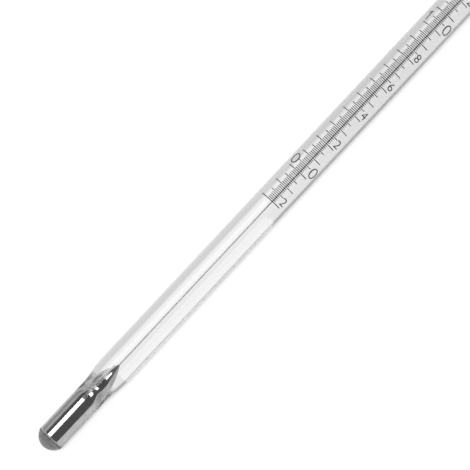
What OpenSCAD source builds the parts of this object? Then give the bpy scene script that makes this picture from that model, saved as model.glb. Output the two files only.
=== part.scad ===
// Solid-stem mercury thermometer, lying on its stem with the scale facing up.
// Heights in this file run along the stem, from the tip of the bulb at 0.
// Each piece is drawn upright on that axis and then laid down along X.

/* [Bulb] */
// Diameter of the glass bulb
bulb_d = 5.8; // [5.6:0.1:6.5]
// Length of the bulb's rounded nose
bulb_nose_l = 2.1; // [1.6:0.1:3.5]
// Turn of the nose's elliptical outline, where 90 would meet the straight wall without an edge
bulb_nose_turn = 65; // [50:1:90]
// Length of the bulb's straight wall
bulb_straight_l = 12.1; // [8:0.1:20]
// Glass between the tip of the bulb and the mercury
bulb_end_wall = 2.1; // [1.4:0.1:2.6]
// Diameter of the mercury reservoir
reservoir_d = 5; // [4:0.1:5.2]
// Radius that rounds the reservoir's lower end
reservoir_round = 0.5; // [0.2:0.05:1]
// Length over which the reservoir narrows to the contraction, up to the fused joint
reservoir_shoulder_l = 5; // [2:0.1:6]

/* [Neck] */
// Length over which the glass widens from the bulb to the stem
flare_l = 7; // [5:0.1:12]
// Length of the flare that belongs to the bulb, up to the fused joint
joint_l = 2.8; // [0.5:0.1:4]
// Diameter of the contraction where it leaves the reservoir
contraction_d = 2.9; // [2:0.1:4]
// Length of the contraction, from the fused joint to the bore
contraction_l = 4.9; // [4:0.1:9]
// Fullness of the contraction's sides, where 1 is a straight cone
contraction_fullness = 1.4; // [1.2:0.1:4]

/* [Stem] */
// Diameter of the stem
stem_d = 7; // [6:0.1:9]
// Diameter of the capillary bore
bore_d = 0.18; // [0.16:0.01:0.4]
// Length of plain stem between the neck and the first line
plain_l = 44.6; // [20:0.1:120]
// Gap between the mercury thread and the wall of the bore
thread_gap = 0.01; // [0.005:0.005:0.02]

/* [Scale] */
// Lowest degree of the scale
scale_low = -2; // [-10:1:0]
// Highest degree of the scale
scale_high = 52; // [30:1:60]
// Length of one degree
degree_l = 3.93; // [2.5:0.01:6]
// Width of the degree lines
degree_line_w = 0.17; // [0.06:0.01:0.18]
// Width of the half-degree lines
half_line_w = 0.16; // [0.06:0.01:0.18]
// Width of the tenth-degree lines
tenth_line_w = 0.15; // [0.05:0.01:0.18]
// Angle round the stem that a degree line covers
degree_line_arc = 80; // [60:1:100]
// Angle round the stem that a half-degree line covers
half_line_arc = 52; // [40:1:58]
// Angle round the stem that a tenth-degree line covers
tenth_line_arc = 30; // [16:1:38]
// Height of the fired ink above the glass
ink_t = 0.02; // [0.01:0.005:0.04]

/* [Reading] */
// Temperature at which the mercury stands
reading = 20; // [10:0.5:28]
// Length of the column head, the part of the thread that moves as one
head_l = 30; // [10:1:35]

/* [Top] */
// Plain bore between the last line and the expansion chamber
chamber_gap = 5; // [3:0.5:20]
// Length of the expansion chamber
chamber_l = 6; // [3:0.5:15]
// Diameter of the expansion chamber
chamber_d = 1.7; // [0.8:0.1:3]
// Glass between the expansion chamber and the end of the stem
top_wall = 3; // [1:0.5:10]
// Length of the shoulder, from the stem's end to the middle of the ring's rod
shoulder_l = 5.2; // [4:0.1:8]
// Depth of the shoulder's rim inside the ring's rod
shoulder_inset = 0.05; // [0.02:0.01:0.3]
// Diameter of the glass rod that the ring is bent from
ring_rod_d = 2.4; // [1.8:0.1:3.2]
// Diameter of the hole in the ring
ring_hole_d = 4.2; // [3:0.1:6]

/* [Hidden] */
$fn = 64;

bulb_r = bulb_d / 2;
stem_r = stem_d / 2;
bore_r = bore_d / 2;
reservoir_r = reservoir_d / 2;
contraction_r = contraction_d / 2;
chamber_r = chamber_d / 2;
ring_rod_r = ring_rod_d / 2;
ring_r = (ring_hole_d + ring_rod_d) / 2;
thread_r = bore_r - thread_gap;

// Heights of the neck's stations
flare_start = bulb_nose_l + bulb_straight_l;
stem_start = flare_start + flare_l;
joint_h = flare_start + joint_l;
reservoir_end = joint_h - reservoir_shoulder_l;
bore_start = joint_h + contraction_l;

// Heights of the scale's stations
lines_per_degree = 10;
lines_per_half = lines_per_degree / 2;
line_l = degree_l / lines_per_degree;
last_line = (scale_high - scale_low) * lines_per_degree;
scale_start = stem_start + plain_l;
scale_end = scale_start + last_line * line_l;
reading_h = scale_start + (reading - scale_low) * degree_l;
head_start = reading_h - head_l;

// Heights of the top's stations
chamber_start = scale_end + chamber_gap;
chamber_end = chamber_start + chamber_l;
stem_end = chamber_end + top_wall;
ring_centre = stem_end + shoulder_l + ring_r;
overall_l = ring_centre + ring_r + ring_rod_r;

// Number of straight steps in a curved stretch and in a rounded corner of an outline
curve_steps = 12;
corner_steps = 6;

// Lays an upright piece down along X: the bulb at -X, the scale up, the stem on the table
module lay_down() {
    translate([-overall_l / 2, 0, stem_r])
        rotate([0, 90, 0])
            rotate([0, 0, 180])
                children();
}

// Eases from 0 to 1 with level ends
function ease(t) = t * t * (3 - 2 * t);

// Radius of the glass at a height in the neck
function flare_r(h) =
    let (t = min(max((h - flare_start) / flare_l, 0), 1))
    bulb_r + (stem_r - bulb_r) * ease(t);

// Outline of the glass from one height to another, in even steps
function flare_outline(from, to) = [
    for (i = [0:curve_steps])
        let (h = from + (to - from) * i / curve_steps)
        [flare_r(h), h]
];

// Rounded nose of the bulb: part of an ellipse, from the tip to the straight wall
function nose_outline() = [
    for (i = [0:curve_steps])
        let (a = bulb_nose_turn * i / curve_steps)
        [
            bulb_r * sin(a) / sin(bulb_nose_turn),
            bulb_nose_l * (1 - cos(a)) / (1 - cos(bulb_nose_turn))
        ]
];

// The reservoir's outline, from its rounded lower end to the fused joint
function reservoir_outline() = concat(
    [[0, bulb_end_wall]],
    [
        for (i = [0:corner_steps])
            let (a = 90 * i / corner_steps)
            [
                reservoir_r - reservoir_round * (1 - sin(a)),
                bulb_end_wall + reservoir_round * (1 - cos(a))
            ]
    ],
    [
        for (i = [0:curve_steps])
            let (t = i / curve_steps)
            [
                reservoir_r + (contraction_r - reservoir_r) * ease(t),
                reservoir_end + reservoir_shoulder_l * t
            ]
    ]
);

// The contraction's outline, from the fused joint to the bore
function contraction_outline() = [
    for (i = [0:curve_steps])
        let (t = i / curve_steps)
        [
            bore_r + (contraction_r - bore_r) * (1 - pow(t, contraction_fullness)),
            joint_h + contraction_l * t
        ]
];

// The expansion chamber's outline, from the bore to its closed end
function chamber_outline() = [
    for (i = [0:curve_steps])
        let (a = 180 * i / curve_steps, open = i < curve_steps ? bore_r : 0)
        [
            max(chamber_r * sin(a), open),
            chamber_start + chamber_l * (1 - cos(a)) / 2
        ]
];

function reversed(list) = [for (i = [len(list) - 1:-1:0]) list[i]];

module turned(outline) {
    rotate_extrude()
        polygon(outline);
}

// Closed glass tube with its reservoir, open at the fused joint
module bulb() {
    color("lightcyan", 0.5)
        lay_down()
            turned(concat(
                nose_outline(),
                flare_outline(flare_start, joint_h),
                reversed(reservoir_outline())
            ));
}

// Glass rod with the contraction, the capillary bore and the expansion chamber
module stem() {
    color("lightcyan", 0.5)
        lay_down()
            turned(concat(
                flare_outline(joint_h, stem_start),
                [[stem_r, stem_end], [0, stem_end]],
                reversed(chamber_outline()),
                reversed(contraction_outline())
            ));
}

// Shoulder that closes the stem and narrows into the ring's rod
module ring_shoulder() {
    tip_r = ring_rod_r - shoulder_inset;
    turned(concat(
        [[0, stem_end]],
        [
            for (i = [0:curve_steps])
                let (t = i / curve_steps)
                [stem_r + (tip_r - stem_r) * ease(t), stem_end + shoulder_l * t]
        ],
        [[0, stem_end + shoulder_l]]
    ));
}

// Glass ring in the plane of the scale, for hanging
module top_ring() {
    color("lightcyan", 0.5)
        lay_down() {
            ring_shoulder();
            translate([0, 0, ring_centre])
                rotate([0, 90, 0])
                    rotate_extrude()
                        translate([ring_r, 0])
                            circle(ring_rod_r);
        }
}

// Mercury in the reservoir and in the contraction above it
module reservoir_mercury() {
    color("dimgray")
        lay_down()
            turned(concat(
                reservoir_outline(),
                contraction_outline(),
                [[0, bore_start]]
            ));
}

// Thread of mercury in the bore, from the contraction to the column head
module mercury_thread() {
    color("dimgray")
        lay_down()
            translate([0, 0, bore_start])
                cylinder(h = head_start - bore_start, r = thread_r);
}

// Upper end of the thread, with the domed meniscus at the reading
module column_head() {
    color("dimgray")
        lay_down() {
            translate([0, 0, head_start])
                cylinder(h = head_l - thread_r, r = thread_r);
            translate([0, 0, reading_h - thread_r])
                sphere(thread_r);
        }
}

// One line of the scale: a thin band of fired ink across the front of the stem
module scale_line(index, width, arc) {
    translate([0, 0, scale_start + index * line_l - width / 2])
        rotate([0, 0, -arc / 2])
            rotate_extrude(angle = arc)
                translate([stem_r, 0])
                    square([ink_t, width]);
}

module degree_lines() {
    color("black")
        lay_down()
            for (i = [0:lines_per_degree:last_line])
                scale_line(i, degree_line_w, degree_line_arc);
}

module half_degree_lines() {
    color("black")
        lay_down()
            for (i = [lines_per_half:lines_per_degree:last_line])
                scale_line(i, half_line_w, half_line_arc);
}

module tenth_degree_lines() {
    color("black")
        lay_down()
            for (i = [0:last_line])
                if (i % lines_per_half != 0)
                    scale_line(i, tenth_line_w, tenth_line_arc);
}

bulb();
stem();
top_ring();
reservoir_mercury();
mercury_thread();
column_head();
degree_lines();
half_degree_lines();
tenth_degree_lines();
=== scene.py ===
# Mercury glass thermometer: glass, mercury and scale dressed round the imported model, in metres.
# Heights run along the stem in millimetres, from the tip of the bulb at 0, as a glassblower would mark them.
import math

import bmesh
import bpy
from mathutils import Matrix, Vector


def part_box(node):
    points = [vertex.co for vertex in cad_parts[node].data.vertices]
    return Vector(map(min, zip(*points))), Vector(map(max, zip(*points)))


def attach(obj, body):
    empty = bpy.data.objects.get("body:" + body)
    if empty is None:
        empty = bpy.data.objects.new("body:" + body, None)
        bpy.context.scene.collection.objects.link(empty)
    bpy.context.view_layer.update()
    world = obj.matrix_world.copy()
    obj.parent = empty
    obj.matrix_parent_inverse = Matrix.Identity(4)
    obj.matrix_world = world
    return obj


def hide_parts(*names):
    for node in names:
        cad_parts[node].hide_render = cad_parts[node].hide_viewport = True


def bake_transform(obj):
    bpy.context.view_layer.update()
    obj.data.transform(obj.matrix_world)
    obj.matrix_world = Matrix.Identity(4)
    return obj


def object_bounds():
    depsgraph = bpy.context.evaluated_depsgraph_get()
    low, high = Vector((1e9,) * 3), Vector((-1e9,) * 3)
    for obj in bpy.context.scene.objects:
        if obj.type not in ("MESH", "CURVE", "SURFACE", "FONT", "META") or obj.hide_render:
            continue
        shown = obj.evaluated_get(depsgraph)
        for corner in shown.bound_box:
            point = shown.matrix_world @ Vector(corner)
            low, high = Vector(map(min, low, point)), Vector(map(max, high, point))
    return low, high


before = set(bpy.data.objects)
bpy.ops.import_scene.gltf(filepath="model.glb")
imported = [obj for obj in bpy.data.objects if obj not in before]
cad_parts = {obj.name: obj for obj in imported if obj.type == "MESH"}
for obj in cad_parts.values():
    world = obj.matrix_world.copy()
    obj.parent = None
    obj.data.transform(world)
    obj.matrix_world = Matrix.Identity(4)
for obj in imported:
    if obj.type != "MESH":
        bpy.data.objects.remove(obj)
cad_low, cad_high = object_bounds()

MM = 0.001


def height(x):
    """Height along the stem, in millimetres, of a place in the frame."""
    return (x - cad_low.x) / MM


def node_span(node):
    """Lowest and highest height of a node of the frame."""
    low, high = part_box(node)
    return height(low.x), height(high.x)


# Places and sizes taken from the frame
STEM_R = (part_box("stem")[1].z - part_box("stem")[0].z) / 2 / MM
AXIS_Z = (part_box("stem")[1].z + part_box("stem")[0].z) / 2
JOINT, STEM_END = node_span("stem")
RESERVOIR_START, BORE_START = node_span("reservoir_mercury")
HEAD_START, READING = node_span("column_head")
SCALE_LOW_END = node_span("degree_lines")[0]

# Glass, in millimetres
BULB_R = 2.9
NOSE_L = 2.1
NOSE_TURN = math.radians(65)
NOSE_EDGE_ROUND = 0.25
FLARE_START = 14.2
FLARE_L = 7.0
RESERVOIR_R = 2.5
RESERVOIR_ROUND = 0.5
RESERVOIR_SHOULDER_L = 5.0
CONTRACTION_R = 1.45
CONTRACTION_FULLNESS = 1.4
CHAMBER_GAP = 5.0
CHAMBER_L = 6.0
CHAMBER_R = 0.85
SHOULDER_L = 5.2
RING_ROD_R = 1.2
RING_R = 3.3
# The shoulder's tip, as a share of the rod's radius
SHOULDER_TIP = 0.94

# Bubble in the neck's glass, in millimetres
BUBBLE_START = 13.6
BUBBLE_END = 21.4
BUBBLE_START_R = 2.57
BUBBLE_END_R = 2.1
BUBBLE_ANGLE = math.radians(-10)
BUBBLE_R = 0.36
# Its height as a share of its width, how sharp its ends are and how much slimmer the upper one is
BUBBLE_HEIGHT = 0.6
BUBBLE_SHARPNESS = 0.6
BUBBLE_TAPER = 0.4

# Mercury, in millimetres
FILL_GAP = 0.008
THREAD_R = 0.08
# The bore is drawn just inside the thread, so that mercury covers its wall wherever the column stands
BORE_R = 0.076

# Scale, in millimetres and degrees
LOW_DEGREE = -2
HIGH_DEGREE = 52
DEGREE_L = 3.93
DEGREE_LINE_W = 0.17
HALF_LINE_W = 0.16
TENTH_LINE_W = 0.15
DEGREE_LINE_ARC = 80
HALF_LINE_ARC = 52
TENTH_LINE_ARC = 30
INK_T = 0.02
INK_SINK = 0.004
INK_SHARP_FROM = 40
SCALE_START = SCALE_LOW_END + DEGREE_LINE_W / 2
SCALE_END = SCALE_START + (HIGH_DEGREE - LOW_DEGREE) * DEGREE_L

# Into how many sides round shapes are divided, and how many points the arc of a line has
RIM = 160
FILL_RIM = 128
RING_RIM = 96
RING_ROD_RIM = 48
FINE_RIM = 32
LINE_POINTS = 14


def ease(t):
    return t * t * (3 - 2 * t)


def steps(count):
    """Evenly spaced shares from 0 to 1."""
    return [i / count for i in range(count + 1)]


def on_stem(h, radius, angle):
    """A point of the frame at a height, a radius and an angle from the top, which grows towards -Y."""
    across = -radius * MM * math.sin(angle)
    return Vector((cad_low.x + h * MM, across, AXIS_Z + radius * MM * math.cos(angle)))


def link(name, mesh):
    piece = bpy.data.objects.new(name, mesh)
    bpy.context.scene.collection.objects.link(piece)
    return piece


def shade(mesh, sharp_from=35):
    for face in mesh.polygons:
        face.use_smooth = True
    mesh.set_sharp_from_angle(angle=math.radians(sharp_from))


def lathe(name, outline, skins, rim=RIM):
    """Turns an outline of (radius, height, skin) about the stem's axis.

    Skin says which of the skins the wall has from that point on.
    """
    mesh = bpy.data.meshes.new(name)
    verts = []
    rings = []
    for radius, h, _ in outline:
        if radius == 0:
            rings.append([len(verts)] * rim)
            verts.append(on_stem(h, 0, 0))
        else:
            rings.append(list(range(len(verts), len(verts) + rim)))
            verts += [on_stem(h, radius, -2 * math.pi * j / rim) for j in range(rim)]
    faces = []
    finish = []
    for i in range(len(outline) - 1):
        here, there = rings[i], rings[i + 1]
        for j in range(rim):
            k = (j + 1) % rim
            corners = [here[j], there[j], there[k], here[k]]
            face = list(dict.fromkeys(corners))
            if len(face) > 2:
                faces.append(face)
                finish.append(outline[i][2])
    mesh.from_pydata(verts, [], faces)
    for skin in skins:
        mesh.materials.append(skin)
    mesh.polygons.foreach_set("material_index", finish)
    mesh.validate()
    shade(mesh)
    return link(name, mesh)


# Outlines of the glass and of the mercury, as (radius, height)

def flare_r(h):
    t = min(max((h - FLARE_START) / FLARE_L, 0), 1)
    return BULB_R + (STEM_R - BULB_R) * ease(t)


def flare(start, end, count):
    """The neck's outer wall between two heights."""
    return [(flare_r(h), h) for h in (start + (end - start) * t for t in steps(count))]


def nose():
    """Rounded nose of the bulb, and the soft edge where it meets the straight wall."""
    turns = [NOSE_TURN * t for t in steps(24)]
    curve = [
        (BULB_R * math.sin(a) / math.sin(NOSE_TURN), NOSE_L * (1 - math.cos(a)) / (1 - math.cos(NOSE_TURN)))
        for a in turns
    ]
    before = [point for point in curve if point[1] < NOSE_L - NOSE_EDGE_ROUND]
    start, corner, end = before[-1], curve[-1], (BULB_R, NOSE_L + NOSE_EDGE_ROUND)
    edge = [
        tuple((1 - t) ** 2 * p + 2 * t * (1 - t) * q + t * t * r for p, q, r in zip(start, corner, end))
        for t in steps(8)[1:]
    ]
    return before + edge


def reservoir(gap=0):
    """The reservoir's wall from its lower end to the joint, drawn in by a gap."""
    end = JOINT - RESERVOIR_SHOULDER_L
    round_r = RESERVOIR_ROUND - gap
    round_at = RESERVOIR_START + RESERVOIR_ROUND
    low = [
        (RESERVOIR_R - RESERVOIR_ROUND + round_r * math.sin(a), round_at - round_r * math.cos(a))
        for a in (math.pi / 2 * t for t in steps(12))
    ]
    shoulder = [
        (RESERVOIR_R - gap + (CONTRACTION_R - RESERVOIR_R) * ease(t), end + RESERVOIR_SHOULDER_L * t)
        for t in steps(32)
    ]
    return [(0, RESERVOIR_START + gap)] + low + shoulder


def contraction(tip, gap=0):
    """The contraction's wall from the joint to the bore, which it meets at the tip's radius."""
    length = BORE_START - JOINT
    wide = CONTRACTION_R - gap
    return [
        (tip + (wide - tip) * (1 - t ** CONTRACTION_FULLNESS), JOINT + length * t)
        for t in steps(40)
    ]


# Places of the two finishes in the skins of each glass piece
CLEAR = 0
WETTED = 1


def skinned(points, skin):
    return [(r, h, skin) for r, h in points]


def make_bulb(glass, wetted):
    """Glass tube with a thick rounded end, wetted inside by the mercury and fused at its upper end."""
    outline = skinned(nose() + flare(FLARE_START, JOINT, 8), CLEAR)
    outline[-1] = (*outline[-1][:2], WETTED)
    outline += skinned(reversed(reservoir()), WETTED)
    return lathe("bulb_glass", outline, [glass, wetted])


def make_stem(glass, wetted):
    """Glass rod with its contraction, bore and chamber."""
    chamber_start = SCALE_END + CHAMBER_GAP
    turns = [math.pi * t for t in steps(32)]
    chamber = [
        (max(CHAMBER_R * math.sin(a), BORE_R), chamber_start + CHAMBER_L * (1 - math.cos(a)) / 2)
        for a in turns[:-1]
    ] + [(0, chamber_start + CHAMBER_L)]
    bore = [(BORE_R, chamber_start + (BORE_START - chamber_start) * t) for t in steps(60)[1:-1]]
    hollow = skinned(list(reversed(chamber)) + bore, CLEAR)
    neck = skinned(reversed(contraction(BORE_R)), WETTED)
    wall = skinned(flare(JOINT, FLARE_START + FLARE_L, 40), CLEAR)
    end = [(STEM_R, STEM_END, WETTED), (0, STEM_END, WETTED)]
    return lathe("stem_glass", hollow + neck + wall + end, [glass, wetted])


def ring_rod(glass):
    """The ring itself: glass rod bent round, lying flat."""
    centre = on_stem(STEM_END + SHOULDER_L + RING_R, 0, 0)
    verts = []
    faces = []
    for i in range(RING_RIM):
        a = 2 * math.pi * i / RING_RIM
        out = Vector((math.cos(a), math.sin(a), 0))
        here = i * RING_ROD_RIM
        there = (i + 1) % RING_RIM * RING_ROD_RIM
        for j in range(RING_ROD_RIM):
            b = 2 * math.pi * j / RING_ROD_RIM
            rise = Vector((0, 0, RING_ROD_R * MM * math.sin(b)))
            verts.append(centre + out * (RING_R + RING_ROD_R * math.cos(b)) * MM + rise)
            k = (j + 1) % RING_ROD_RIM
            faces.append([here + j, there + j, there + k, here + k])
    mesh = bpy.data.meshes.new("rod")
    mesh.from_pydata(verts, [], faces)
    mesh.materials.append(glass)
    return link("rod", mesh)


def make_ring(glass, wetted):
    """Shoulder drawn out of the stem's end, fused to a ring of glass rod."""
    tip_r = RING_ROD_R * SHOULDER_TIP
    shoulder = [(STEM_R + (tip_r - STEM_R) * ease(t), STEM_END + SHOULDER_L * t) for t in steps(32)]
    outline = [(0, STEM_END, WETTED)] + skinned(shoulder, CLEAR) + [(0, STEM_END + SHOULDER_L, CLEAR)]
    piece = lathe("ring_glass", outline, [glass, wetted], RING_RIM)
    rod = ring_rod(glass)
    fuse = piece.modifiers.new("fuse", "BOOLEAN")
    fuse.operation = "UNION"
    fuse.solver = "EXACT"
    fuse.object = rod
    fused = bpy.data.meshes.new_from_object(piece.evaluated_get(bpy.context.evaluated_depsgraph_get()))
    piece.modifiers.clear()
    piece.data = fused
    bpy.data.objects.remove(rod)
    shade(fused, sharp_from=50)
    return piece


def make_bubble(air):
    """Slender bubble of air, drawn out in the glass over the contraction when the bulb was fused on."""
    around, along = 32, 96
    start = on_stem(BUBBLE_START, BUBBLE_START_R, BUBBLE_ANGLE)
    end = on_stem(BUBBLE_END, BUBBLE_END_R, BUBBLE_ANGLE)
    across = Vector((0, 1, 0))
    upright = (end - start).cross(across).normalized()
    verts = [start]
    for i in range(1, along):
        t = i / along
        along_it = (1 - math.cos(math.pi * t)) / 2
        centre = start.lerp(end, along_it)
        radius = BUBBLE_R * MM * math.sin(math.pi * t) ** BUBBLE_SHARPNESS * (1 - BUBBLE_TAPER * along_it)
        verts += [
            centre + radius * (across * math.cos(a) + upright * math.sin(a) * BUBBLE_HEIGHT)
            for a in (2 * math.pi * j / around for j in range(around))
        ]
    verts.append(end)
    last = len(verts) - 1
    faces = [
        [1 + i * around + j, 1 + i * around + (j + 1) % around,
         1 + (i + 1) * around + (j + 1) % around, 1 + (i + 1) * around + j]
        for i in range(along - 2)
        for j in range(around)
    ]
    faces += [[0, 1 + (j + 1) % around, 1 + j] for j in range(around)]
    faces += [[last, last - around + j, last - around + (j + 1) % around] for j in range(around)]
    mesh = bpy.data.meshes.new("neck_bubble")
    mesh.from_pydata(verts, [], faces)
    mesh.materials.append(air)
    bubble = bmesh.new()
    bubble.from_mesh(mesh)
    bmesh.ops.recalc_face_normals(bubble, faces=bubble.faces[:])
    bubble.to_mesh(mesh)
    bubble.free()
    shade(mesh, sharp_from=60)
    return link("neck_bubble", mesh)


def make_fill(mercury):
    """Mercury that fills the reservoir and the contraction, and runs out into the thread."""
    outline = skinned(reservoir(FILL_GAP) + contraction(THREAD_R, FILL_GAP), 0)
    return lathe("mercury_fill", outline + [(0, BORE_START, 0)], [mercury], FILL_RIM)


def make_thread(mercury):
    """Thread of mercury in the bore, up to the head of the column.

    It has rings only at its ends and middle, where the eased weight of the blend is that of an even stretch.
    More rings would fold over each other when the column falls.
    """
    rings = [(THREAD_R, BORE_START + (HEAD_START - BORE_START) * t) for t in steps(2)]
    outline = [(0, BORE_START, 0)] + skinned(rings, 0) + [(0, HEAD_START, 0)]
    return lathe("thread_of_mercury", outline, [mercury], FINE_RIM)


def make_head(mercury):
    """Upper end of the column, with its domed meniscus."""
    turns = [math.pi / 2 * t for t in steps(8)]
    dome = [(THREAD_R * math.cos(a), READING - THREAD_R * (1 - math.sin(a))) for a in turns]
    outline = [(0, HEAD_START, 0), (THREAD_R, HEAD_START, 0)] + skinned(dome[:-1], 0) + [(0, READING, 0)]
    return lathe("meniscus_head", outline, [mercury], FINE_RIM)


# Short ways to put nodes in a tree

def feed(tree, socket, value):
    """Gives a socket a number, or links it to another socket."""
    if isinstance(value, (int, float)):
        socket.default_value = value
    else:
        tree.links.new(value, socket)


def calculate(tree, operation, *values):
    """A Math node fed with numbers and sockets."""
    made = tree.nodes.new("ShaderNodeMath")
    made.operation = operation
    for socket, value in zip(made.inputs, values):
        feed(tree, socket, value)
    return made.outputs[0]


def spread(tree, value, start, end, low, high):
    """A Map Range node from start and end to low and high."""
    made = tree.nodes.new("ShaderNodeMapRange")
    given = {"Value": value, "From Min": start, "From Max": end, "To Min": low, "To Max": high}
    for name, what in given.items():
        feed(tree, made.inputs[name], what)
    return made.outputs["Result"]


# Scale lines: one tree of Geometry Nodes strikes a row of bands round the stem

def scale_line_tree():
    tree = bpy.data.node_groups.new("scale_lines", "GeometryNodeTree")
    face = tree.interface
    face.new_socket("Geometry", in_out="OUTPUT", socket_type="NodeSocketGeometry")
    for name, kind in (
        ("Count", "NodeSocketInt"), ("First", "NodeSocketFloat"), ("Pitch", "NodeSocketFloat"),
        ("Axis Height", "NodeSocketFloat"), ("Radius", "NodeSocketFloat"), ("Arc", "NodeSocketFloat"),
        ("Line Width", "NodeSocketFloat"), ("Ink Depth", "NodeSocketFloat"), ("Skip Every", "NodeSocketInt"),
        ("Unevenness", "NodeSocketFloat"), ("Seed", "NodeSocketInt"), ("Ink", "NodeSocketMaterial"),
    ):
        face.new_socket(name, in_out="INPUT", socket_type=kind)
    nodes, links = tree.nodes, tree.links
    given = nodes.new("NodeGroupInput").outputs

    def node(kind, **settings):
        made = nodes.new(kind)
        for key, value in settings.items():
            setattr(made, key, value)
        return made

    # One band: an arc about the stem's axis, given a flat rectangular section
    arc = node("GeometryNodeCurveArc", mode="RADIUS")
    arc.inputs["Resolution"].default_value = LINE_POINTS
    links.new(given["Radius"], arc.inputs["Radius"])
    links.new(calculate(tree, "MULTIPLY", given["Arc"], -0.5), arc.inputs["Start Angle"])
    links.new(given["Arc"], arc.inputs["Sweep Angle"])
    section = node("GeometryNodeCurvePrimitiveQuadrilateral", mode="RECTANGLE")
    links.new(given["Ink Depth"], section.inputs["Width"])
    links.new(given["Line Width"], section.inputs["Height"])
    band = node("GeometryNodeCurveToMesh")
    links.new(arc.outputs["Curve"], band.inputs["Curve"])
    links.new(section.outputs["Curve"], band.inputs["Profile Curve"])
    band.inputs["Fill Caps"].default_value = True
    # The arc lies in XY about Z: it is turned to run about X with its middle on top
    upright = node("GeometryNodeTransform")
    upright.inputs["Rotation"].default_value = (0, -math.pi / 2, 0)
    links.new(band.outputs["Mesh"], upright.inputs["Geometry"])

    # The row of places along the stem
    row = node("GeometryNodeMeshLine", mode="OFFSET")
    links.new(given["Count"], row.inputs["Count"])
    start = node("ShaderNodeCombineXYZ")
    links.new(given["First"], start.inputs["X"])
    links.new(given["Axis Height"], start.inputs["Z"])
    links.new(start.outputs[0], row.inputs["Start Location"])
    offset = node("ShaderNodeCombineXYZ")
    links.new(given["Pitch"], offset.inputs["X"])
    links.new(offset.outputs[0], row.inputs["Offset"])

    index = node("GeometryNodeInputIndex").outputs[0]
    left_over = calculate(tree, "MODULO", index, given["Skip Every"])
    kept = calculate(tree, "GREATER_THAN", left_over, 0.5)
    no_skips = calculate(tree, "LESS_THAN", given["Skip Every"], 0.5)
    chosen = calculate(tree, "MAXIMUM", kept, no_skips)

    uneven = node("FunctionNodeRandomValue", data_type="FLOAT_VECTOR")
    low = node("ShaderNodeCombineXYZ")
    high = node("ShaderNodeCombineXYZ")
    for made, sign in ((low, -1), (high, 1)):
        more = calculate(tree, "MULTIPLY", given["Unevenness"], sign)
        links.new(calculate(tree, "ADD", 1, more), made.inputs["X"])
        made.inputs["Y"].default_value = 1
        made.inputs["Z"].default_value = 1
    links.new(low.outputs[0], uneven.inputs[0])
    links.new(high.outputs[0], uneven.inputs[1])
    links.new(given["Seed"], uneven.inputs["Seed"])

    strike = node("GeometryNodeInstanceOnPoints")
    links.new(row.outputs["Mesh"], strike.inputs["Points"])
    links.new(chosen, strike.inputs["Selection"])
    links.new(upright.outputs["Geometry"], strike.inputs["Instance"])
    links.new(uneven.outputs[0], strike.inputs["Scale"])
    real = node("GeometryNodeRealizeInstances")
    links.new(strike.outputs[0], real.inputs[0])
    inked = node("GeometryNodeSetMaterial")
    links.new(real.outputs[0], inked.inputs["Geometry"])
    links.new(given["Ink"], inked.inputs["Material"])
    out = nodes.new("NodeGroupOutput")
    links.new(inked.outputs[0], out.inputs[0])
    return tree


def strike_lines(name, tree, ink, **values):
    """Runs the tree once with its named inputs set, and keeps the plain mesh."""
    piece = link(name, bpy.data.meshes.new(name))
    grown = piece.modifiers.new("lines", "NODES")
    grown.node_group = tree
    values = {"Axis Height": AXIS_Z, "Radius": (STEM_R + (INK_T - INK_SINK) / 2) * MM,
              "Ink Depth": (INK_T + INK_SINK) * MM, "Ink": ink,
              **{key.replace("_", " ").title(): value for key, value in values.items()}}
    for socket in tree.interface.items_tree:
        if socket.in_out == "INPUT" and socket.name in values:
            grown[socket.identifier] = values[socket.name]
    piece.update_tag()
    mesh = bpy.data.meshes.new_from_object(piece.evaluated_get(bpy.context.evaluated_depsgraph_get()))
    piece.modifiers.clear()
    piece.data = mesh
    mesh.name = name
    shade(mesh, INK_SHARP_FROM)
    return piece


def make_lines(ink):
    tree = scale_line_tree()
    first = cad_low.x + SCALE_START * MM
    degrees = HIGH_DEGREE - LOW_DEGREE
    return {
        "degree_lines": strike_lines(
            "degree_marks", tree, ink, count=degrees + 1, first=first, pitch=DEGREE_L * MM, skip_every=0,
            arc=math.radians(DEGREE_LINE_ARC), line_width=DEGREE_LINE_W * MM, unevenness=0.12, seed=3),
        "half_degree_lines": strike_lines(
            "half_degree_marks", tree, ink, count=degrees, first=first + DEGREE_L / 2 * MM,
            pitch=DEGREE_L * MM, skip_every=0,
            arc=math.radians(HALF_LINE_ARC), line_width=HALF_LINE_W * MM, unevenness=0.14, seed=5),
        "tenth_degree_lines": strike_lines(
            "tenth_degree_marks", tree, ink, count=degrees * 10, first=first,
            pitch=DEGREE_L / 10 * MM, skip_every=5,
            arc=math.radians(TENTH_LINE_ARC), line_width=TENTH_LINE_W * MM, unevenness=0.16, seed=8),
    }


# Finishes

GLASS_IOR = 1.5
# Nearly all of the noise lies between these values
NOISE_LOW = 0.3
NOISE_HIGH = 0.7


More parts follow.
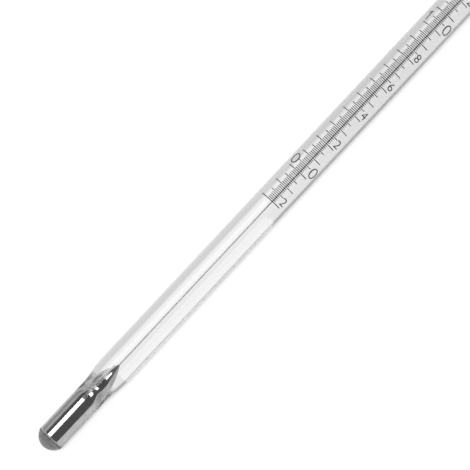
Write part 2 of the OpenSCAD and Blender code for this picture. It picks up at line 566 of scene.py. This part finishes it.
def mottle_group():
    """Fine cloudy variation between two values, shared by every finish."""
    group = bpy.data.node_groups.new("mottle", "ShaderNodeTree")
    face = group.interface
    for name, kind, value in (
        ("Vector", "NodeSocketVector", None), ("Scale", "NodeSocketFloat", 1.0),
        ("Detail", "NodeSocketFloat", 3.0), ("Low", "NodeSocketFloat", 0.0), ("High", "NodeSocketFloat", 1.0),
    ):
        socket = face.new_socket(name, in_out="INPUT", socket_type=kind)
        if value is not None:
            socket.default_value = value
    face.new_socket("Value", in_out="OUTPUT", socket_type="NodeSocketFloat")
    nodes, links = group.nodes, group.links
    given = nodes.new("NodeGroupInput").outputs
    noise = nodes.new("ShaderNodeTexNoise")
    links.new(given["Vector"], noise.inputs["Vector"])
    links.new(given["Scale"], noise.inputs["Scale"])
    links.new(given["Detail"], noise.inputs["Detail"])
    clouds = spread(group, noise.outputs[0], NOISE_LOW, NOISE_HIGH, given["Low"], given["High"])
    out = nodes.new("NodeGroupOutput")
    links.new(clouds, out.inputs["Value"])
    return group


class Finish:
    """A material under construction, with its Principled shader and its object coordinates at hand."""

    def __init__(self, name, mottle):
        self.material = bpy.data.materials.new(name)
        self.material.use_nodes = True
        self.nodes = self.material.node_tree.nodes
        self.links = self.material.node_tree.links
        self.shader = self.nodes["Principled BSDF"]
        self.coordinates = self.nodes.new("ShaderNodeTexCoord")
        self.mottle = mottle

    def set(self, **values):
        for key, value in values.items():
            self.shader.inputs[key.replace("_", " ")].default_value = value

    def mottled(self, scale, low, high, stretch=(1, 1, 1), detail=3.0):
        """A value that varies over the surface, drawn out along any axis whose stretch is under 1."""
        mapping = self.nodes.new("ShaderNodeMapping")
        mapping.inputs["Scale"].default_value = stretch
        self.links.new(self.coordinates.outputs["Object"], mapping.inputs["Vector"])
        group = self.nodes.new("ShaderNodeGroup")
        group.node_tree = self.mottle
        self.links.new(mapping.outputs["Vector"], group.inputs["Vector"])
        for name, value in (("Scale", scale), ("Detail", detail), ("Low", low), ("High", high)):
            group.inputs[name].default_value = value
        return group.outputs["Value"]

    def tint(self, value, dark, light):
        """Base colour between two colours, by a value from 0 to 1."""
        mix = self.nodes.new("ShaderNodeMix")
        mix.data_type = "RGBA"
        mix.inputs["A"].default_value = (*dark, 1)
        mix.inputs["B"].default_value = (*light, 1)
        self.links.new(value, mix.inputs["Factor"])
        self.links.new(mix.outputs["Result"], self.shader.inputs["Base Color"])

    def drive(self, socket, value):
        self.links.new(value, self.shader.inputs[socket])

    def bump(self, value, strength, distance):
        bump = self.nodes.new("ShaderNodeBump")
        bump.inputs["Strength"].default_value = strength
        bump.inputs["Distance"].default_value = distance
        self.links.new(value, bump.inputs["Height"])
        self.links.new(bump.outputs["Normal"], self.shader.inputs["Normal"])


def clear_glass(mottle):
    glass = Finish("clear_glass", mottle)
    glass.set(Transmission_Weight=1.0, IOR=GLASS_IOR, Metallic=0.0)
    glass.tint(glass.mottled(60, 0, 1), (0.978, 0.979, 0.978), (0.992, 0.993, 0.992))
    glass.drive("Roughness", glass.mottled(900, 0.0, 0.02))
    glass.bump(glass.mottled(900, 0, 1, stretch=(0.02, 1, 1)), 0.12, 0.00002)
    return glass.material


def wetted_glass(mottle):
    """Inner faces that light doesn't see: where mercury wets the glass, and where two pieces are fused."""
    wetted = Finish("wetted_glass", mottle)
    wetted.set(Transmission_Weight=1.0, IOR=GLASS_IOR, Metallic=0.0, Alpha=0.0)
    wetted.drive("Roughness", wetted.mottled(900, 0.0, 0.02))
    return wetted.material


def trapped_air(mottle):
    """Air inside the glass: its refraction is that of air over that of the glass."""
    air = Finish("trapped_air", mottle)
    air.set(Transmission_Weight=1.0, IOR=1 / GLASS_IOR, Metallic=0.0, Base_Color=(1, 1, 1, 1))
    air.drive("Roughness", air.mottled(900, 0.0, 0.02))
    return air.material


def liquid_mercury(mottle):
    mercury = Finish("liquid_mercury", mottle)
    mercury.set(Metallic=1.0)
    mercury.tint(mercury.mottled(700, 0, 1), (0.52, 0.523, 0.53), (0.58, 0.582, 0.588))
    mercury.drive("Roughness", mercury.mottled(1200, 0.02, 0.07))
    return mercury.material


def fired_ink(mottle):
    ink = Finish("fired_ink", mottle)
    ink.tint(ink.mottled(2500, 0, 1, detail=4.0), (0.008, 0.008, 0.009), (0.04, 0.04, 0.042))
    ink.drive("Roughness", ink.mottled(3000, 0.4, 0.7))
    ink.bump(ink.mottled(9000, 0, 1), 0.4, 0.000004)
    return ink.material


# Numbers of the scale: plain digits, wrapped on the stem beside the lines

# The digit 1, in millimetres: its stroke, how far its flag reaches and the flag's height at any point
ONE_STROKE = 0.2
ONE_FLAG = 0.62
ONE_FLAG_HEIGHT = 0.26

# Digits are cut into strips of this width, in millimetres, so that they bend round the stem
STRIP_W = 0.12
CUTS_EACH_SIDE = 8
SAME_POINT = 1e-5


def make_numbers(ink):
    """Even degrees are numbered: ones on the -Y side, and tens beside them on the +Y side."""
    small = dict(bold=-0.008, tall=1.75, wide=1.2, past=1.4, ones_at=37.0)
    large = dict(bold=-0.017, tall=2.35, wide=1.7, past=1.75, ones_at=45.0, tens_at=-39.0)
    placed = []
    for degree in range(LOW_DEGREE, HIGH_DEGREE + 1, 2):
        size = large if degree % 10 == 0 else small
        h = SCALE_START + (degree - LOW_DEGREE) * DEGREE_L + size["past"]
        placed.append((digit(abs(degree) % 10, size), h, math.radians(size["ones_at"])))
        if degree % 10 == 0:
            placed.append((digit(degree // 10, size), h, math.radians(size["tens_at"])))
    return join("scale_numbers", placed, ink)


def flagged_one(tall):
    """The digit 1 as one outline: an upright stroke with a flag that slopes down from its top."""
    side, top = ONE_STROKE / 2, tall / 2
    under_flag = top - ONE_FLAG_HEIGHT
    outline = (
        (-side, -top), (side, -top), (side, top), (0, top),
        (-ONE_FLAG, top - ONE_FLAG), (-ONE_FLAG, under_flag - ONE_FLAG), (-side, under_flag - side),
    )
    mesh = bpy.data.meshes.new("digit_1")
    mesh.from_pydata([(x, y, 0) for x, y in outline], [], [list(range(len(outline)))])
    return mesh


def digit(value, size):
    """One digit as a flat mesh in millimetres about its middle, its top towards the stem's upper end."""
    if value == 1:
        return flagged_one(size["tall"])
    text = bpy.data.curves.new(f"digit_{value}", "FONT")
    text.body = str(value)
    text.resolution_u = 6
    text.offset = size["bold"]
    flat = link("digit", text)
    mesh = bpy.data.meshes.new_from_object(flat.evaluated_get(bpy.context.evaluated_depsgraph_get()))
    bpy.data.objects.remove(flat)
    bpy.data.curves.remove(text)
    xs = [v.co.x for v in mesh.vertices]
    ys = [v.co.y for v in mesh.vertices]
    middle = Vector(((max(xs) + min(xs)) / 2, (max(ys) + min(ys)) / 2, 0))
    fit = Matrix.Diagonal((size["wide"] / (max(xs) - min(xs)), size["tall"] / (max(ys) - min(ys)), 1, 1))
    mesh.transform(fit @ Matrix.Translation(-middle))
    return mesh


def join(name, placed, ink):
    """Wraps flat digits on the stem, each at a height and an angle, gives them ink's depth and joins them."""
    whole = bmesh.new()
    for mesh, h, angle in placed:
        part = bmesh.new()
        part.from_mesh(mesh)
        bmesh.ops.triangulate(part, faces=part.faces[:])
        for k in range(-CUTS_EACH_SIDE, CUTS_EACH_SIDE + 1):
            geometry = part.verts[:] + part.edges[:] + part.faces[:]
            bmesh.ops.bisect_plane(part, geom=geometry, plane_co=(k * STRIP_W, 0, 0), plane_no=(1, 0, 0))
        bmesh.ops.remove_doubles(part, verts=part.verts[:], dist=SAME_POINT)
        grown = bmesh.ops.extrude_face_region(part, geom=part.faces[:])
        raised = {v for v in grown["geom"] if isinstance(v, bmesh.types.BMVert)}
        for v in part.verts:
            radius = STEM_R + (INK_T if v in raised else -INK_SINK)
            v.co = on_stem(h + v.co.y, radius, angle + v.co.x / STEM_R)
        bmesh.ops.recalc_face_normals(part, faces=part.faces[:])
        done = bpy.data.meshes.new("part")
        part.to_mesh(done)
        whole.from_mesh(done)
        part.free()
        bpy.data.meshes.remove(done)
        bpy.data.meshes.remove(mesh)
    mesh = bpy.data.meshes.new(name)
    whole.to_mesh(mesh)
    whole.free()
    mesh.materials.append(ink)
    shade(mesh, INK_SHARP_FROM)
    return link(name, mesh)


# Studio

# What the photograph spans at the stem in millimetres, and the slope of the stem in it
PHOTO_MM_WIDE = 93.2
STEM_SLOPE = math.radians(46.9)
# The camera's distance in metres, and how far it leans from upright
CAMERA_AWAY = 0.4
CAMERA_LEAN_X = math.radians(-4.5)
CAMERA_LEAN_Y = math.radians(-7)
SENSOR_W = 36
# The picture's middle: a height on the stem, and how far beside the axis, in millimetres
AIM_HEIGHT = 56.2
AIM_ACROSS = 0.86


def set_camera():
    """Looks down on the bulb end, with the stem rising to the right at the photograph's slope."""
    camera = bpy.data.objects.new("camera", bpy.data.cameras.new("camera"))
    bpy.context.scene.collection.objects.link(camera)
    back = Vector((math.tan(CAMERA_LEAN_X), math.tan(CAMERA_LEAN_Y), 1)).normalized()
    along = Vector((1, 0, 0))
    along = (along - back * along.dot(back)).normalized()
    across = back.cross(along)
    right = along * math.cos(STEM_SLOPE) - across * math.sin(STEM_SLOPE)
    up = along * math.sin(STEM_SLOPE) + across * math.cos(STEM_SLOPE)
    aim = on_stem(AIM_HEIGHT, 0, 0) + across * AIM_ACROSS * MM
    turn = Matrix((right, up, back)).transposed().to_4x4()
    camera.matrix_world = Matrix.Translation(aim + back * CAMERA_AWAY) @ turn
    camera.data.sensor_width = SENSOR_W
    camera.data.lens = SENSOR_W * CAMERA_AWAY / (PHOTO_MM_WIDE * MM)
    camera.data.clip_start = 0.01
    camera.data.clip_end = 20
    bpy.context.scene.camera = camera


# How brightly the floor glows, and the share of the glow in what the camera sees of it
FLOOR_GLOW = 1.28
GLOW_SEEN = 0.72
# Painted contact shadow: close to the glass the glow falls to this share, between two distances from its edge
# in millimetres
CONTACT_LIGHT = 0.48
CONTACT_IN = -0.75
CONTACT_OUT = 0.2
# Painted shadow under the bulb: no light from below passes within this distance of the bulb's axis, in
# millimetres. Past it is a soft edge.
BULB_SHADE = 2.4
BULB_SHADE_SOFT = 1.6
# Painted shade under the scale: the share of the light from below that passes under it, and the length over
# which it falls to that
SCALE_SHADE_THROUGH = 0.88
SCALE_DIMS_OVER = 24


def away_from_axis(paper, place, far):
    """Distance on the floor, in metres, from the line under the axis between the bulb's tip and a height."""
    tree = paper.material.node_tree
    middle = on_stem(far / 2, 0, 0).x
    past = calculate(tree, "ABSOLUTE", calculate(tree, "SUBTRACT", place["X"], middle))
    past = calculate(tree, "MAXIMUM", calculate(tree, "SUBTRACT", past, (far / 2 - BULB_R) * MM), 0)
    across = calculate(tree, "POWER", place["Y"], 2)
    return calculate(tree, "SQRT", calculate(tree, "ADD", across, calculate(tree, "POWER", past, 2)))


def light_through(paper, place):
    """Share of the light from below, with painted shade: none under the mercury, and a little less than all
    under the scale.
    """
    tree = paper.material.node_tree
    away = away_from_axis(paper, place, JOINT)
    beside_bulb = spread(tree, away, BULB_SHADE * MM, (BULB_SHADE + BULB_SHADE_SOFT) * MM, 0, 1)
    scale_start = on_stem(SCALE_START, 0, 0).x
    # Painted shade: the light from below dims along the scale
    painted_scale_shade = spread(tree, place["X"], scale_start, scale_start + SCALE_DIMS_OVER * MM, 1, SCALE_SHADE_THROUGH)
    return calculate(tree, "MULTIPLY", beside_bulb, painted_scale_shade)


def contact_shade(paper, place):
    """Painted contact shadow: brightness of the floor's glow close to the glass, darkened where the glass
    would block the light.
    """
    tree = paper.material.node_tree
    bulb_end = on_stem(FLARE_START, 0, 0).x
    radius = spread(tree, place["X"], bulb_end, bulb_end + FLARE_L * MM, BULB_R * MM, STEM_R * MM)
    away = calculate(tree, "SUBTRACT", away_from_axis(paper, place, STEM_END), radius)
    return spread(tree, away, CONTACT_IN * MM, CONTACT_OUT * MM, CONTACT_LIGHT, 1)


def make_floor(mottle):
    """White paper. The camera sees it glow, with a painted contact shadow by the glass, and clear glass shows
    the white background below it, with painted shade under the bulb and the scale.
    """
    bpy.ops.mesh.primitive_plane_add(size=6, location=(0, 0, 0))
    floor = bpy.context.object
    floor.name = "floor"
    paper = Finish("white_floor", mottle)
    tree = paper.material.node_tree
    paper.tint(paper.mottled(40, 0, 1), (0.88, 0.88, 0.88), (0.9, 0.9, 0.9))
    paper.drive("Roughness", paper.mottled(60, 0.75, 0.9))
    glow = paper.nodes.new("ShaderNodeEmission")
    split = paper.nodes.new("ShaderNodeSeparateXYZ")
    paper.links.new(paper.coordinates.outputs["Object"], split.inputs[0])
    place = split.outputs
    # The glow carries a painted contact shadow close to the glass
    bright = calculate(tree, "MULTIPLY", contact_shade(paper, place), FLOOR_GLOW)
    paper.links.new(bright, glow.inputs["Strength"])
    clear = paper.nodes.new("ShaderNodeBsdfTransparent")
    path = paper.nodes.new("ShaderNodeLightPath").outputs
    mirrored = calculate(tree, "SUBTRACT", path["Is Glossy Ray"], path["Is Transmission Ray"])
    seen = calculate(tree, "MULTIPLY", calculate(tree, "MAXIMUM", path["Is Camera Ray"], mirrored), GLOW_SEEN)
    # Light from below through the floor, with painted shade under the bulb and under the scale
    through = calculate(tree, "MULTIPLY", path["Is Transmission Ray"], light_through(paper, place))
    surface = paper.shader.outputs[0]
    for share, other in ((seen, glow), (through, clear)):
        mix = paper.nodes.new("ShaderNodeMixShader")
        paper.links.new(share, mix.inputs["Fac"])
        paper.links.new(surface, mix.inputs[1])
        paper.links.new(other.outputs[0], mix.inputs[2])
        surface = mix.outputs[0]
    paper.links.new(surface, paper.nodes["Material Output"].inputs["Surface"])
    floor.data.materials.append(paper.material)


# Brightness of the walls on the -Y and +Y sides and of the ceiling, where 1 is that of white
FRONT_WALL_LIGHT = 0.85
BACK_WALL_LIGHT = 0.6
CEILING_LIGHT = 0.12
# The walls fade into the ceiling between these steepnesses of a direction, and that edge leans in X and Y
WALL_FADES = 0.3
WALL_ENDS = 0.4
EDGE_LEAN_X = 0.18
EDGE_LEAN_Y = -0.055
HORIZON_SOFT = 0.02
# Brightness of the white background below, by how far a direction leans from -Y to +Y
BELOW = (
    (-0.85, 0.85), (-0.7, 0.68), (-0.38, 0.68), (-0.24, 0.95), (-0.13, 0.95),
    (0, 0.9), (0.3, 0.89), (0.36, 0.87), (0.5, 0.85), (0.74, 0.81), (0.83, 0.36), (0.97, 0.36), (1, 0.5),
)


def light_world():
    """White background below, pale walls round the table and a dim ceiling. The camera sees plain white."""
    world = bpy.data.worlds.new("studio")
    bpy.context.scene.world = world
    world.use_nodes = True
    tree = world.node_tree
    nodes, links = tree.nodes, tree.links
    background = nodes["Background"]
    coordinates = nodes.new("ShaderNodeTexCoord")
    split = nodes.new("ShaderNodeSeparateXYZ")
    links.new(coordinates.outputs["Generated"], split.inputs[0])
    front_extra = FRONT_WALL_LIGHT - CEILING_LIGHT
    back_extra = BACK_WALL_LIGHT - CEILING_LIGHT
    wall = spread(tree, split.outputs["Y"], -1, 1, front_extra, back_extra)
    steepness = calculate(tree, "MULTIPLY_ADD", split.outputs["Y"], EDGE_LEAN_Y, split.outputs["Z"])
    steepness = calculate(tree, "MULTIPLY_ADD", split.outputs["X"], EDGE_LEAN_X, steepness)
    low = spread(tree, steepness, WALL_FADES, WALL_ENDS, 1, 0)
    above = calculate(tree, "MULTIPLY_ADD", wall, low, CEILING_LIGHT)
    ramp = nodes.new("ShaderNodeValToRGB")
    links.new(spread(tree, split.outputs["Y"], -1, 1, 0, 1), ramp.inputs["Fac"])
    stops = ramp.color_ramp.elements
    while len(stops) < len(BELOW):
        stops.new(0.5)
    for stop, (place, light) in zip(stops, BELOW):
        stop.position = (place + 1) / 2
        stop.color = (light, light, light, 1)
    up = spread(tree, split.outputs["Z"], -HORIZON_SOFT, 0, 0, 1)
    mix = nodes.new("ShaderNodeMix")
    links.new(up, mix.inputs["Factor"])
    links.new(ramp.outputs["Color"], mix.inputs["A"])
    links.new(above, mix.inputs["B"])
    path = nodes.new("ShaderNodeLightPath")
    light = calculate(tree, "MAXIMUM", mix.outputs["Result"], path.outputs["Is Camera Ray"])
    links.new(light, background.inputs["Strength"])
    background.inputs["Color"].default_value = (1, 1, 1, 1)


# Soft lamps, placed so that their mirror images lie where the photograph has its highlights. Each is in a
# direction from a height on the stem, with its distance and sides in metres. Radiance 1 is that of white.
SOFTBOX = dict(towards=(-0.111, 0.334, 0.936), over=5, away=0.6, long=0.38, wide=0.344, radiance=2.05)
NECK_LAMP = dict(towards=(0.81, 0.02, 0.58), over=17, away=0.6, long=0.14, wide=0.3, radiance=2.6)
# Watts for each square metre of a lamp that is as bright as white
WATTS_FOR_WHITE = 4


def add_lamp(name, towards, over, away, long, wide, radiance):
    """A soft lamp that faces a point of the stem, with its long side along it."""
    data = bpy.data.lights.new(name, "AREA")
    data.shape = "RECTANGLE"
    data.size = long
    data.size_y = wide
    data.energy = radiance * WATTS_FOR_WHITE * long * wide
    lamp = bpy.data.objects.new(name, data)
    bpy.context.scene.collection.objects.link(lamp)
    back = Vector(towards).normalized()
    side = back.cross(Vector((1, 0, 0))).normalized()
    turn = Matrix((side.cross(back), side, back)).transposed().to_4x4()
    lamp.matrix_world = Matrix.Translation(on_stem(over, 0, 0) + back * away) @ turn
    lamp.visible_camera = False


# Light runs from one end of the stem to the other inside the glass, reflected dozens of times on its way
LIGHT_BOUNCES = 96


def let_light_run():
    """Without this, light that is trapped in the stem or between glass and mercury would end in black."""
    paths = bpy.context.scene.cycles
    paths.max_bounces = LIGHT_BOUNCES
    paths.glossy_bounces = LIGHT_BOUNCES
    paths.transmission_bounces = LIGHT_BOUNCES
    paths.transparent_max_bounces = LIGHT_BOUNCES


# The thermometer's pieces, with their nodes and bodies, and then the studio

bpy.context.scene.view_settings.view_transform = "Standard"
let_light_run()
mottle = mottle_group()
glass = clear_glass(mottle)
wetted = wetted_glass(mottle)
mercury = liquid_mercury(mottle)
ink = fired_ink(mottle)

for node, piece in (
    ("bulb", make_bulb(glass, wetted)),
    ("stem", make_stem(glass, wetted)),
    ("top_ring", make_ring(glass, wetted)),
):
    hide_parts(node)
    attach(piece, "glass")

bubble = make_bubble(trapped_air(mottle))
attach(bubble, "glass")

fill = make_fill(mercury)
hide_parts("reservoir_mercury")
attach(fill, "glass")

thread = make_thread(mercury)
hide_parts("mercury_thread")
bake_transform(thread)

head = make_head(mercury)
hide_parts("column_head")
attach(head, "column")

for node, piece in make_lines(ink).items():
    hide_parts(node)
    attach(piece, "glass")

numbers = make_numbers(ink)
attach(numbers, "glass")

set_camera()
make_floor(mottle)
light_world()
add_lamp("softbox", **SOFTBOX)
add_lamp("neck_lamp", **NECK_LAMP)
